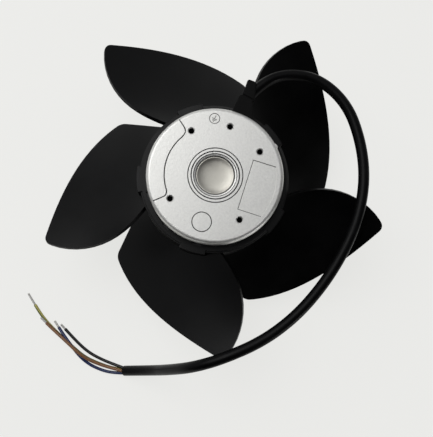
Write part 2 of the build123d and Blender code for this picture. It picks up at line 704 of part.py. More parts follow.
# Bare end of a core
def core_end(route, length):
    """The bare tinned end of a core, in line with its last run."""
    last = Vector(*route[-1])
    direction = (last - Vector(*route[-2])).normalized()
    plane = Plane(origin=last, z_dir=direction)
    body = extrude(plane * Circle(CORE_END_RADIUS), length)
    far = body.edges().filter_by(GeomType.CIRCLE).sort_by_distance(last)[-1]
    return fillet(far, CORE_END_ROUND)


def write_parts():
    os.makedirs("parts", exist_ok=True)
    parts = {
        "stator_flange": stator_flange(),
        "bearing_cap": bearing_cap(),
        "preload_spring": preload_spring(),
        "stator_core": stator_core(),
        "upper_insulator": insulator(stack_top, 1),
        "lower_insulator": insulator(stack_bottom, -1),
        "stator_winding": stator_winding(),
        "thermal_cutout": thermal_cutout(),
        "winding_leads": winding_leads(),
        "shaft": shaft(),
        "retaining_ring": retaining_ring(),
        "rotor_hub": rotor_hub(),
        "rotor_cup": rotor_cup(),
        "rotor_laminations": rotor_laminations(),
        "rotor_cage": rotor_cage(),
        "impeller": impeller(),
        "cable_boot": cable_boot(),
        "cable_jacket": tube(JACKET_ROUTE, CABLE_RADIUS),
    }
    for place, top in {"upper": upper_bearing_top, "lower": lower_bearing_top}.items():
        parts[place + "_bearing_outer_ring"] = outer_race(top)
        parts[place + "_bearing_inner_ring"] = inner_race(top)
        parts[place + "_bearing_balls"] = balls(top)
        parts[place + "_bearing_cage"] = ball_cage(top)
        parts[place + "_bearing_shields"] = shields(top)
    routes = {"earth": EARTH_ROUTE, "brown": BROWN_ROUTE, "blue": BLUE_ROUTE, "black": BLACK_ROUTE}
    for colour, route in routes.items():
        parts[colour + "_core"] = tube(route, CORE_RADIUS, 3)
        parts[colour + "_core_end"] = core_end(route, CORE_END_LENGTH[colour])
    for name, shape in parts.items():
        export_step(shape, "parts/" + name + ".step")


write_parts()
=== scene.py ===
from math import acos, atan2, cos, pi, radians, sin, sqrt

import bmesh
import bpy
import numpy as np
from mathutils import Matrix, Vector


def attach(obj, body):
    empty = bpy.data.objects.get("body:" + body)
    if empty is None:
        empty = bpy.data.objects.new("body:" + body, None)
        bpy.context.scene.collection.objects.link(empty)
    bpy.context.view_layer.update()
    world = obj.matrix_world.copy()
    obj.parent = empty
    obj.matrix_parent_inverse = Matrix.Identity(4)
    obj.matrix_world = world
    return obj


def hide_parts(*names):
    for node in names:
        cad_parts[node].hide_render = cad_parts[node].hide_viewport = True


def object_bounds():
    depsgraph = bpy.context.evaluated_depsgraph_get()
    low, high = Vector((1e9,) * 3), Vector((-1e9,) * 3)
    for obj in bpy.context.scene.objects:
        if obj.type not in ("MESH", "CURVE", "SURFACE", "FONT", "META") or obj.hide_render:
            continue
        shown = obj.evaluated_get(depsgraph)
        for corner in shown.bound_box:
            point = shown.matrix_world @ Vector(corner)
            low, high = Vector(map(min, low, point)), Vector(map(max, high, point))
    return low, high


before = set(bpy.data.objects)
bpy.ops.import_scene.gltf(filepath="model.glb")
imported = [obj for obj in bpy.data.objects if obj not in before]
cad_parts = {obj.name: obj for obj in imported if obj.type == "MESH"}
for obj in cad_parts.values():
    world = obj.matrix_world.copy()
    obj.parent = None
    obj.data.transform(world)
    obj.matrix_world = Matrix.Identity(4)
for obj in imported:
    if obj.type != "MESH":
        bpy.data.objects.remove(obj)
bpy.ops.object.select_all(action="DESELECT")
cad_low, cad_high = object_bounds()

# Camera: it looks almost straight down on the mounting face, from a little
# over the side where the lead ends. Its turn and place come from the outline
# of the flange, its holes and the blade tips in the photograph.
PHOTO_LONG_SIDE = 437
PHOTO_FOCAL_LENGTH = 600
SENSOR_MM = 36
CAMERA_TURN = Vector((0.1164, -0.0505, 0))
CAMERA_OFFSET = Vector((0.00067, -0.02505, 0.3455))

camera_data = bpy.data.cameras.new("camera")
camera_data.sensor_width = SENSOR_MM
camera_data.lens = SENSOR_MM * PHOTO_FOCAL_LENGTH / PHOTO_LONG_SIDE
camera_data.clip_start = 0.01
camera = bpy.data.objects.new("camera", camera_data)
bpy.context.collection.objects.link(camera)
camera_turn = Matrix.Rotation(CAMERA_TURN.length, 3, CAMERA_TURN.normalized())
camera.rotation_mode = "QUATERNION"
camera.rotation_quaternion = camera_turn.to_quaternion()
camera.location = camera_turn @ CAMERA_OFFSET
bpy.context.scene.camera = camera
bpy.context.scene.view_settings.view_transform = "Standard"

# Studio: a pale table whose brightness is its own for the camera, so that the
# fan hardly casts a shadow, a soft box over its left side, a pale wall on the
# side of the boot with a dark one across from it, and a small lamp for the rim.
BACKGROUND = (0.846, 0.846, 0.825, 1)
TABLE_COLOUR = (0.16, 0.16, 0.158, 1)
TABLE_GLOW = 0.88
SKY_COLOUR = (0.97, 0.98, 1.0, 1)
SKY_BRIGHT_SIDE = (-0.3, 0.95, 0)
SKY_LEVELS = (0.005, 0.42)


def only_seen(nodes, links):
    """A value of 1 for rays from the camera and for mirrored and refracted ones."""
    path = nodes.new("ShaderNodeLightPath")
    total = path.outputs["Is Camera Ray"]
    for name in ("Is Glossy Ray", "Is Transmission Ray"):
        step = nodes.new("ShaderNodeMath")
        step.operation = "MAXIMUM"
        links.new(total, step.inputs[0])
        links.new(path.outputs[name], step.inputs[1])
        total = step.outputs[0]
    return total


world = bpy.data.worlds.new("studio")
bpy.context.scene.world = world
world.use_nodes = True
nodes = world.node_tree.nodes
links = world.node_tree.links
sky = nodes["Background"]
sky.inputs["Color"].default_value = SKY_COLOUR
facing = nodes.new("ShaderNodeTexCoord")
toward = nodes.new("ShaderNodeVectorMath")
toward.operation = "DOT_PRODUCT"
toward.inputs[1].default_value = SKY_BRIGHT_SIDE
sky_range = nodes.new("ShaderNodeMapRange")
sky_range.interpolation_type = "SMOOTHSTEP"
sky_range.inputs["From Min"].default_value = -0.45
sky_range.inputs["From Max"].default_value = 0.35
sky_range.inputs["To Min"].default_value = SKY_LEVELS[0]
sky_range.inputs["To Max"].default_value = SKY_LEVELS[1]
links.new(facing.outputs["Generated"], toward.inputs[0])
links.new(toward.outputs["Value"], sky_range.inputs["Value"])
links.new(sky_range.outputs["Result"], sky.inputs["Strength"])
backdrop = nodes.new("ShaderNodeBackground")
backdrop.inputs["Color"].default_value = BACKGROUND
sky_path = nodes.new("ShaderNodeLightPath")
sky_mix = nodes.new("ShaderNodeMixShader")
links.new(sky_path.outputs["Is Camera Ray"], sky_mix.inputs[0])
links.new(sky.outputs[0], sky_mix.inputs[1])
links.new(backdrop.outputs[0], sky_mix.inputs[2])
links.new(sky_mix.outputs[0], nodes["World Output"].inputs["Surface"])

bpy.ops.mesh.primitive_plane_add(size=8, location=(0, 0, cad_low[2]))
table = bpy.context.object
table.name = "table"
board = bpy.data.materials.new("table_board")
board.use_nodes = True
nodes = board.node_tree.nodes
links = board.node_tree.links
shader = nodes["Principled BSDF"]
shader.inputs["Base Color"].default_value = TABLE_COLOUR
shader.inputs["Roughness"].default_value = 0.9
shader.inputs["Specular IOR Level"].default_value = 0.1
glow = nodes.new("ShaderNodeEmission")
glow.inputs["Color"].default_value = BACKGROUND
level = nodes.new("ShaderNodeMath")
level.operation = "MULTIPLY"
level.inputs[1].default_value = TABLE_GLOW
links.new(only_seen(nodes, links), level.inputs[0])
links.new(level.outputs[0], glow.inputs["Strength"])
both = nodes.new("ShaderNodeAddShader")
links.new(shader.outputs[0], both.inputs[0])
links.new(glow.outputs[0], both.inputs[1])
links.new(both.outputs[0], nodes["Material Output"].inputs["Surface"])
table.data.materials.append(board)


def add_lamp(name, place, aim, size, watts):
    """A square soft lamp."""
    data = bpy.data.lights.new(name, "AREA")
    data.size = size
    data.energy = watts
    lamp = bpy.data.objects.new(name, data)
    bpy.context.collection.objects.link(lamp)
    lamp.location = place
    lamp.rotation_mode = "QUATERNION"
    lamp.rotation_quaternion = (Vector(aim) - Vector(place)).to_track_quat("-Z", "Y")


add_lamp("soft_box", (-0.40, 0.35, 0.90), (0, 0, 0), 0.8, 5.0)
add_lamp("rim_lamp", (0.60, -0.62, 0.10), (0, 0, 0), 0.15, 0.8)

# Lead jacket: a round PVC sheath over four cores, extruded, satin black. It
# leaves the boot beside the flange, runs round over the blades in the air
# that the boot gives it, comes down past the last blade and lies on the table.
JACKET_DIAMETER = 0.0065
JACKET_ROUTE = [
    (0.0188, 0.0470, -0.0054), (0.0284, 0.0573, -0.0054), (0.0440, 0.0635, -0.0058),
    (0.0635, 0.0605, -0.0064), (0.0800, 0.0450, -0.0064), (0.0875, 0.0222, -0.0064),
    (0.0893, -0.0008, -0.0064), (0.0847, -0.0238, -0.0064), (0.0748, -0.0449, -0.0064),
    (0.0619, -0.0642, -0.0064), (0.0460, -0.0814, -0.0064), (0.0270, -0.0950, -0.0064),
    (0.0045, -0.1045, -0.0066), (-0.0125, -0.1098, -0.0122), (-0.0260, -0.1135, -0.0310),
    (-0.0385, -0.1165, -0.0515), (-0.0565, -0.1182, -0.0645),
]


def lay_cord(name, route, diameter):
    """A round cord whose line is a smooth spline with the route as its control points."""
    curve = bpy.data.curves.new(name, "CURVE")
    curve.dimensions = "3D"
    spline = curve.splines.new("NURBS")
    spline.points.add(len(route) - 1)
    for point, place in zip(spline.points, route):
        point.co = (*place, 1)
    spline.order_u = 3
    spline.use_endpoint_u = True
    spline.resolution_u = 14
    curve.bevel_depth = diameter / 2
    curve.bevel_resolution = 8
    curve.use_fill_caps = diameter > 0
    cord = bpy.data.objects.new(name, curve)
    bpy.context.collection.objects.link(cord)
    return cord


def new_group(name, inputs, outputs):
    """An empty shader node group with named inputs (with defaults) and outputs."""
    group = bpy.data.node_groups.new(name, "ShaderNodeTree")
    for label, kind, value in inputs:
        socket = group.interface.new_socket(name=label, in_out="INPUT", socket_type=kind)
        if value is not None:
            socket.default_value = value
    for label, kind in outputs:
        group.interface.new_socket(name=label, in_out="OUTPUT", socket_type=kind)
    return group, group.nodes.new("NodeGroupInput"), group.nodes.new("NodeGroupOutput")


def math_step(nodes, links, operation, first, second=None):
    """One Math node; each argument is a socket or a number."""
    step = nodes.new("ShaderNodeMath")
    step.operation = operation
    for socket, value in zip(step.inputs, (first, second)):
        if isinstance(value, (int, float)):
            socket.default_value = value
        elif value is not None:
            links.new(value, socket)
    return step.outputs[0]


# Patchy: a slow cloudy change over a surface, as of handling, dust and flow
patchy, group_in, group_out = new_group("patchy", [
    ("Scale", "NodeSocketFloat", 60.0), ("Dark", "NodeSocketColor", None), ("Light", "NodeSocketColor", None),
    ("Low", "NodeSocketFloat", 0.3), ("High", "NodeSocketFloat", 0.5)],
    [("Color", "NodeSocketColor"), ("Value", "NodeSocketFloat")])
cloud_place = patchy.nodes.new("ShaderNodeTexCoord")
cloud = patchy.nodes.new("ShaderNodeTexNoise")
cloud.inputs["Detail"].default_value = 4
cloud.inputs["Roughness"].default_value = 0.6
cloud_range = patchy.nodes.new("ShaderNodeMapRange")
cloud_range.inputs["From Min"].default_value = 0.32
cloud_range.inputs["From Max"].default_value = 0.68
cloud_mix = patchy.nodes.new("ShaderNodeMix")
cloud_mix.data_type = "RGBA"
cloud_value = patchy.nodes.new("ShaderNodeMapRange")
patchy.links.new(cloud_place.outputs["Object"], cloud.inputs["Vector"])
patchy.links.new(group_in.outputs["Scale"], cloud.inputs["Scale"])
patchy.links.new(cloud.outputs["Fac"], cloud_range.inputs["Value"])
patchy.links.new(cloud_range.outputs["Result"], cloud_mix.inputs[0])
patchy.links.new(group_in.outputs["Dark"], cloud_mix.inputs[6])
patchy.links.new(group_in.outputs["Light"], cloud_mix.inputs[7])
patchy.links.new(cloud_range.outputs["Result"], cloud_value.inputs["Value"])
patchy.links.new(group_in.outputs["Low"], cloud_value.inputs["To Min"])
patchy.links.new(group_in.outputs["High"], cloud_value.inputs["To Max"])
patchy.links.new(cloud_mix.outputs[2], group_out.inputs["Color"])
patchy.links.new(cloud_value.outputs["Result"], group_out.inputs["Value"])

# Grain: the fine even bumps of blasted metal, spark eroded moulds and rubber
grain, group_in, group_out = new_group("grain", [
    ("Scale", "NodeSocketFloat", 3000.0), ("Coarse", "NodeSocketFloat", 0.3)],
    [("Height", "NodeSocketFloat")])
grain_place = grain.nodes.new("ShaderNodeTexCoord")
fine = grain.nodes.new("ShaderNodeTexNoise")
fine.inputs["Detail"].default_value = 3
coarse = grain.nodes.new("ShaderNodeTexVoronoi")
coarse.feature = "SMOOTH_F1"
grain.links.new(grain_place.outputs["Object"], fine.inputs["Vector"])
grain.links.new(grain_place.outputs["Object"], coarse.inputs["Vector"])
grain.links.new(group_in.outputs["Scale"], fine.inputs["Scale"])
coarse_scale = math_step(grain.nodes, grain.links, "MULTIPLY", group_in.outputs["Scale"], 0.35)
grain.links.new(coarse_scale, coarse.inputs["Scale"])
coarse_part = math_step(grain.nodes, grain.links, "MULTIPLY", coarse.outputs["Distance"], group_in.outputs["Coarse"])
grain_sum = math_step(grain.nodes, grain.links, "ADD", fine.outputs["Fac"], coarse_part)
grain.links.new(grain_sum, group_out.inputs["Height"])


def new_material(name, metallic=0.0, specular=0.5, coat=0.0):
    """A principled material with its constant sockets set."""
    material = bpy.data.materials.new(name)
    material.use_nodes = True
    shader = material.node_tree.nodes["Principled BSDF"]
    shader.inputs["Metallic"].default_value = metallic
    shader.inputs["Specular IOR Level"].default_value = specular
    shader.inputs["Coat Weight"].default_value = coat
    shader.inputs["Coat Roughness"].default_value = 0.2
    return material, material.node_tree.nodes, material.node_tree.links, shader


def add_patchy(material, scale, dark, light, low, high, coloured=True):
    """Feeds the base colour and the roughness from the patchy group."""
    nodes = material.node_tree.nodes
    links = material.node_tree.links
    shader = nodes["Principled BSDF"]
    cloudy = nodes.new("ShaderNodeGroup")
    cloudy.node_tree = patchy
    cloudy.inputs["Scale"].default_value = scale
    cloudy.inputs["Dark"].default_value = (*dark, 1)
    cloudy.inputs["Light"].default_value = (*light, 1)
    cloudy.inputs["Low"].default_value = low
    cloudy.inputs["High"].default_value = high
    if coloured:
        links.new(cloudy.outputs["Color"], shader.inputs["Base Color"])
    links.new(cloudy.outputs["Value"], shader.inputs["Roughness"])
    return cloudy


def add_grain(material, scale, depth, coarse=0.3):
    """Feeds the normal from the grain group through a bump; depth is in metres."""
    nodes = material.node_tree.nodes
    links = material.node_tree.links
    bumps = nodes.new("ShaderNodeGroup")
    bumps.node_tree = grain
    bumps.inputs["Scale"].default_value = scale
    bumps.inputs["Coarse"].default_value = coarse
    bump = nodes.new("ShaderNodeBump")
    bump.inputs["Distance"].default_value = depth
    bump.inputs["Strength"].default_value = 0.6
    links.new(bumps.outputs["Height"], bump.inputs["Height"])
    links.new(bump.outputs["Normal"], nodes["Principled BSDF"].inputs["Normal"])
    return bump


jacket_pvc, nodes, links, shader = new_material("jacket_pvc", specular=0.10)
add_patchy(jacket_pvc, 90, (0.0016, 0.0016, 0.0018), (0.0036, 0.0036, 0.0039), 0.30, 0.40)
add_grain(jacket_pvc, 1500, 0.00002)

jacket = lay_cord("lead_jacket", JACKET_ROUTE, JACKET_DIAMETER)
jacket.data.materials.append(jacket_pvc)
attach(jacket, "stator")
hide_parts("cable_jacket")

# Four cores of stranded wire in coloured PVC, the earth core striped green on
# yellow. They come out of the jacket side by side, lie on the table and cross
# once. Each is stripped and its strands are twisted and tinned with solder.
CORE_DIAMETER = 0.0020
STRAND_RADIUS = 0.00066
STRAND_COUNT = 7
STRAND_PITCH = 0.009
STRIPE_TURN = 0.10
CORE_ROUTES = {
    "earth": [
        (-0.0556, -0.1181, -0.06575), (-0.0642, -0.1170, -0.0670), (-0.0744, -0.1135, -0.0670),
        (-0.0836, -0.1092, -0.0670), (-0.0929, -0.1012, -0.0670), (-0.1023, -0.0927, -0.0670),
        (-0.1088, -0.0860, -0.0670), (-0.1132, -0.0804, -0.0670), (-0.1164, -0.0753, -0.0670),
    ],
    "brown": [
        (-0.0574, -0.1183, -0.06325), (-0.0655, -0.1164, -0.0646), (-0.0732, -0.1140, -0.0649),
        (-0.0808, -0.1107, -0.0644), (-0.0866, -0.1065, -0.0627), (-0.0930, -0.1005, -0.0627),
        (-0.0992, -0.0953, -0.0644), (-0.1042, -0.0909, -0.0649), (-0.1083, -0.0870, -0.0649),
    ],
    "blue": [
        (-0.05635, -0.11975, -0.0645), (-0.0650, -0.1198, -0.0666), (-0.0736, -0.1174, -0.0670),
        (-0.0812, -0.1134, -0.0664), (-0.0872, -0.1076, -0.0648), (-0.0932, -0.0997, -0.0648),
        (-0.0972, -0.0948, -0.0663), (-0.1006, -0.0900, -0.0670),
    ],
    "black": [
        (-0.05665, -0.11665, -0.0645), (-0.0650, -0.1139, -0.0666), (-0.0726, -0.1108, -0.0670),
        (-0.0804, -0.1066, -0.0670), (-0.0882, -0.0999, -0.0670), (-0.0964, -0.0911, -0.0670),
    ],
}
BARE_LENGTHS = {"earth": 0.0088, "brown": 0.0050, "blue": 0.0050, "black": 0.0040}
CORE_COLOURS = {
    "brown": ((0.23, 0.105, 0.045), (0.31, 0.155, 0.070)),
    "blue": ((0.020, 0.032, 0.105), (0.032, 0.050, 0.150)),
    "black": ((0.006, 0.006, 0.006), (0.011, 0.011, 0.011)),
}
EARTH_YELLOW = (0.54, 0.49, 0.14)
EARTH_GREEN = (0.155, 0.185, 0.035)
STRIPE_START = 0.4


def route_points(route):
    """The points of a route's smooth line, read from its own spline."""
    line = lay_cord("route_line", route, 0)
    mesh = bpy.data.meshes.new_from_object(line)
    points = [vertex.co.copy() for vertex in mesh.vertices]
    bpy.data.objects.remove(line)
    bpy.data.meshes.remove(mesh)
    return points


def sweep_tube(name, points, radius_at, sides):
    """A closed tube along points; its U goes round once and its V is the length in metres."""
    mesh = bmesh.new()
    layer = mesh.loops.layers.uv.new("UVMap")
    along = (points[1] - points[0]).normalized()
    across = along.orthogonal().normalized()
    rings = []
    lengths = [0.0]
    for index, point in enumerate(points):
        before = points[max(index - 1, 0)]
        after = points[min(index + 1, len(points) - 1)]
        new_along = (after - before).normalized()
        across.rotate(along.rotation_difference(new_along))
        along = new_along
        side = along.cross(across)
        if index:
            lengths.append(lengths[-1] + (point - before).length)
        ring = []
        for k in range(sides):
            turn = 2 * pi * k / sides
            out = cos(turn) * across + sin(turn) * side
            ring.append(mesh.verts.new(point + radius_at(lengths[-1], turn) * out))
        rings.append(ring)
    for i in range(len(rings) - 1):
        for k in range(sides):
            next_k = (k + 1) % sides
            face = mesh.faces.new((rings[i][k], rings[i][next_k], rings[i + 1][next_k], rings[i + 1][k]))
            face.smooth = True
            for loop, (u, v) in zip(face.loops, ((k, i), (k + 1, i), (k + 1, i + 1), (k, i + 1))):
                loop[layer].uv = (u / sides, lengths[v])
    mesh.faces.new(list(reversed(rings[0])))
    mesh.faces.new(rings[-1])
    data = bpy.data.meshes.new(name)
    mesh.to_mesh(data)
    mesh.free()
    tube = bpy.data.objects.new(name, data)
    bpy.context.collection.objects.link(tube)
    return tube


def strand_radius(distance, turn):
    """The outline of twisted strands: a valley between each two."""
    phase = turn - 2 * pi * distance / STRAND_PITCH
    lobe = abs(cos(STRAND_COUNT * phase / 2))
    return STRAND_RADIUS * (0.93 + 0.07 * sqrt(lobe))


tinned_copper, nodes, links, shader = new_material("tinned_copper_finish", metallic=0.4)
add_patchy(tinned_copper, 900, (0.54, 0.53, 0.50), (0.66, 0.65, 0.62), 0.35, 0.5)
add_grain(tinned_copper, 6000, 0.00002)


def earth_insulation():
    """Yellow PVC with a broad green stripe that winds slowly round the core."""
    material, nodes, links, shader = new_material("earth_insulation", specular=0.45)
    around = nodes.new("ShaderNodeUVMap")
    around.uv_map = "UVMap"
    split = nodes.new("ShaderNodeSeparateXYZ")
    links.new(around.outputs["UV"], split.inputs[0])
    lead = math_step(nodes, links, "DIVIDE", split.outputs["Y"], STRIPE_TURN)
    place = math_step(nodes, links, "ADD", split.outputs["X"], lead)
    place = math_step(nodes, links, "ADD", place, STRIPE_START)
    wave = math_step(nodes, links, "SINE", math_step(nodes, links, "MULTIPLY", place, 2 * pi))
    edge = nodes.new("ShaderNodeMapRange")
    edge.inputs["From Min"].default_value = -0.12
    edge.inputs["From Max"].default_value = 0.12
    links.new(wave, edge.inputs["Value"])
    yellow = add_patchy(material, 400, EARTH_YELLOW, [1.12 * c for c in EARTH_YELLOW], 0.30, 0.42, False)
    mix = nodes.new("ShaderNodeMix")
    mix.data_type = "RGBA"
    mix.inputs[7].default_value = (*EARTH_GREEN, 1)
    links.new(edge.outputs["Result"], mix.inputs[0])
    links.new(yellow.outputs["Color"], mix.inputs[6])
    links.new(mix.outputs[2], shader.inputs["Base Color"])
    return material


for colour_name, route in CORE_ROUTES.items():
    path = None
    if colour_name == "earth":
        path = route_points(route)
        core = sweep_tube("earth_core_wire", path, lambda distance, turn: CORE_DIAMETER / 2, 20)
        insulation = earth_insulation()
    else:
        core = lay_cord(colour_name + "_core_wire", route, CORE_DIAMETER)
        insulation, nodes, links, shader = new_material(colour_name + "_insulation", specular=0.45)
        add_patchy(insulation, 400, *CORE_COLOURS[colour_name], 0.30, 0.42)
    add_grain(insulation, 4000, 0.00001)
    core.data.materials.append(insulation)
    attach(core, "stator")
    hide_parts(colour_name + "_core")
    last = Vector(route[-1])
    outward = (last - Vector(route[-2])).normalized()
    steps = 14
    axis_points = [last + outward * BARE_LENGTHS[colour_name] * i / steps for i in range(steps + 1)]
    bare = sweep_tube(colour_name + "_bare_end", axis_points, strand_radius, 56)
    bare.data.materials.append(tinned_copper)
    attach(bare, "stator")
    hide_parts(colour_name + "_core_end")

# Mounting flange: die cast aluminium, shot blasted, with the bearing tube in
# one piece with it. The lines that part its fields are cast in; the five
# holes are drilled, countersunk and tapped. Its grooves, holes and hollows
# get a near black of painted shade.
MM = 0.001
FLANGE_PROFILE = [
    (11.0, -13.1), (11.0, -1.25), (11.1, -0.95), (11.4, -0.62), (11.9, -0.4), (12.25, -0.35),
    (12.4, -0.6), (12.55, -0.6), (12.7, -0.1), (12.9, 0.0), (13.6, 0.0), (13.68, -0.1),
    (13.75, -0.42), (14.15, -0.42), (14.22, -0.1), (14.3, 0.0), (15.6, 0.0), (15.68, -0.35),
    (16.12, -0.35), (16.2, 0.0), (37.6, 0.0),
    (38.5, -0.18), (39.3, -0.72), (39.8, -1.45), (40.0, -2.4), (40.0, -8.2), (39.8, -8.4),
    (37.4, -8.4), (37.2, -8.2), (37.2, -4.4), (36.4, -3.6), (15.9, -3.6), (15.5, -4.0),
    (15.5, -21.6), (15.1, -22.0), (14.0, -22.0), (14.0, -57.9), (13.8, -58.1), (11.2, -58.1),
    (11.0, -57.9), (11.0, -51.1), (8.8, -51.1), (8.8, -13.1),
]
HOLE_CIRCLE = 29.4
HOLE_FIRST = 28.0
EARTH_HOLE = (30.0, 73.0)
HOLE_PROFILE_RADIUS = 1.65
THREAD_RADIUS = 1.95
THREAD_PITCH = 0.7
HOLE_DEPTH = 8.5
SINK_RADIUS = 2.2
SINK_DEPTH = 0.45
LINE_RADIUS = 0.34
# Bands of radius and height, in millimetres, that take painted shade: the wall round the cap and the ring grooves.
RING_LINE_FLOOR = -1.2
RING_LINE_TOP = -0.03
RING_LINES = [(10.95, 11.3), (12.3, 12.68), (13.62, 14.28), (15.61, 16.19)]
SIGN_LINE_RADIUS = 0.20
TRAY_SLOPE = 0.024
TRAY_DEPTH = 0.3


def open_edit(shape):
    """Selects this object alone and opens it in edit mode."""
    bpy.ops.object.select_all(action="DESELECT")
    shape.select_set(True)
    bpy.context.view_layer.objects.active = shape
    bpy.ops.object.mode_set(mode="EDIT")
    bpy.ops.mesh.select_all(action="SELECT")


def draw_mesh(name, points, sides, faces):
    """A mesh drawn from points in millimetres."""
    mesh = bpy.data.meshes.new(name)
    mesh.from_pydata([[value * MM for value in point] for point in points], sides, faces)
    shape = bpy.data.objects.new(name, mesh)
    bpy.context.collection.objects.link(shape)
    return shape


def face_outwards(shape):
    """Merges what lies on one spot and turns every face outwards."""
    open_edit(shape)
    bpy.ops.mesh.remove_doubles(threshold=0.002 * MM)
    bpy.ops.mesh.normals_make_consistent(inside=False)
    bpy.ops.object.mode_set(mode="OBJECT")


def add_turned(name, profile, steps=128, closed=True):
    """A turned shape from its half section; an open one starts and ends on the axis."""
    count = len(profile)
    sides = [(i, (i + 1) % count) for i in range(count if closed else count - 1)]
    shape = draw_mesh(name, [(radius, 0, height) for radius, height in profile], sides, [])
    open_edit(shape)
    bpy.ops.mesh.spin(steps=steps, angle=2 * pi, center=(0, 0, 0), axis=(0, 0, 1))
    bpy.ops.object.mode_set(mode="OBJECT")
    face_outwards(shape)
    return shape


def apply_modifiers(shape):
    """Makes what the modifiers show the object's own mesh."""
    bpy.ops.object.select_all(action="DESELECT")
    shape.select_set(True)
    bpy.context.view_layer.objects.active = shape
    for modifier in list(shape.modifiers):
        bpy.ops.object.modifier_apply(modifier=modifier.name)


def round_edges(shape, width, sharp=40, segments=2):
    """Rounds every edge that is sharper than the given angle."""
    bevel = shape.modifiers.new("round", "BEVEL")
    bevel.width = width * MM
    bevel.segments = segments
    bevel.limit_method = "ANGLE"
    bevel.angle_limit = radians(sharp)
    bevel.use_clamp_overlap = True
    apply_modifiers(shape)


def join_shapes(name, shapes):
    """Gathers shapes that don't touch into one object."""
    bpy.ops.object.select_all(action="DESELECT")
    for shape in shapes:
        shape.select_set(True)
    bpy.context.view_layer.objects.active = shapes[0]
    if len(shapes) > 1:
        bpy.ops.object.join()
    shapes[0].name = name
    return shapes[0]


def combine(shape, other, operation):
    """Cuts a shape with another or unites them; the other is used up."""
    step = shape.modifiers.new("combine", "BOOLEAN")
    step.operation = operation
    step.object = other
    step.solver = "EXACT"
    apply_modifiers(shape)
    bpy.data.objects.remove(other)


def finish_shading(shape, sharp):
    """Clears slivers, smooths all but sharp edges and lets large faces lead the shading."""
    open_edit(shape)
    bpy.ops.mesh.remove_doubles(threshold=0.02 * MM)
    bpy.ops.mesh.dissolve_limited(angle_limit=radians(0.3), delimit={"MATERIAL"})
    bpy.ops.object.mode_set(mode="OBJECT")
    face_outwards(shape)
    bpy.ops.object.shade_smooth_by_angle(angle=radians(sharp))
    weighted = shape.modifiers.new("weighted", "WEIGHTED_NORMAL")
    weighted.keep_sharp = True
    weighted.weight = 100
    apply_modifiers(shape)


def set_place(shape, turn=0.0, place=(0, 0, 0)):
    """Turns a mesh about Z and moves it, in degrees and millimetres."""
    shift = Matrix.Translation(Vector(place) * MM)
    shape.data.transform(shift @ Matrix.Rotation(radians(turn), 4, "Z"))
    return shape


def copy_shape(shape, name):
    """A copy with its own mesh."""
    twin = shape.copy()
    twin.data = shape.data.copy()
    twin.name = name
    bpy.context.collection.objects.link(twin)
    return twin


def polar(radius, angle):
    """A point of the plan from its distance and angle about the axis."""
    return radius * cos(radians(angle)), radius * sin(radians(angle))


def arc_points(radius, first, last, count):
    return [polar(radius, first + (last - first) * i / (count - 1)) for i in range(count)]


def add_line_cutter(name, points, radius, height=0.0):
    """A round rod along points of the plan, which cuts half of itself as a groove."""
    curve = bpy.data.curves.new(name, "CURVE")
    curve.dimensions = "3D"
    spline = curve.splines.new("POLY")
    spline.points.add(len(points) - 1)
    for point, (x, y) in zip(spline.points, points):
        point.co = (x * MM, y * MM, height * MM, 1)
    curve.bevel_depth = radius * MM
    curve.bevel_resolution = 2
    curve.use_fill_caps = True
    rod = bpy.data.objects.new(name, curve)
    bpy.context.collection.objects.link(rod)
    bpy.ops.object.select_all(action="DESELECT")
    rod.select_set(True)
    bpy.context.view_layer.objects.active = rod
    bpy.ops.object.convert(target="MESH")
    face_outwards(bpy.context.object)
    return bpy.context.object


def add_ring_cutter(name, middle, ring_radius, radius):
    """A ring of round section, which cuts half of itself as a round groove."""
    bpy.ops.mesh.primitive_torus_add(major_radius=ring_radius * MM, minor_radius=radius * MM,
                                     major_segments=56, minor_segments=10)
    shape = bpy.context.object
    shape.name = name
    return set_place(shape, 0, (*middle, 0))


def paint_shade_faces(shape, below=1.0):
    """Gives a cutter's faces under a height the second material, which its cut keeps: a near black that is painted
    shade in the groove or hole.
    """
    for face in shape.data.polygons:
        face.material_index = int(face.center.z < below * MM)


def add_tray(name, outline):
    """A shallow tray with sloping sides, from its outline in the plan."""
    middle = [sum(values) / len(outline) for values in zip(*outline)]
    points = []
    for scale, height in ((1 - TRAY_SLOPE, -TRAY_DEPTH), (1 + TRAY_SLOPE, TRAY_DEPTH)):
        points += [(*[m + scale * (p - m) for m, p in zip(middle, place)], height) for place in outline]
    count = len(outline)
    sides = [(i, (i + 1) % count, (i + 1) % count + count, i + count) for i in range(count)]
    tray = draw_mesh(name, points, [], [list(range(count)), list(range(count, 2 * count)), *sides])
    face_outwards(tray)
    return tray


def add_block(name, size, turn, place):
    """A block of a rib or notch, in millimetres, turned about Z with its place."""
    bpy.ops.mesh.primitive_cube_add(size=1)
    block = bpy.context.object
    block.name = name
    block.data.transform(Matrix.Diagonal((*[value * MM for value in size], 1)))
    block.data.transform(Matrix.Translation(Vector(place) * MM))
    block.data.transform(Matrix.Rotation(radians(turn), 4, "Z"))
    return block


def add_rod(name, radius, place, bottom, top, sides=32):
    """A round post of the plan between two heights, in millimetres."""
    bpy.ops.mesh.primitive_cylinder_add(vertices=sides, radius=radius * MM, depth=(top - bottom) * MM)
    rod = bpy.context.object
    rod.name = name
    rod.data.transform(Matrix.Translation(Vector((*place, (bottom + top) / 2)) * MM))
    return rod


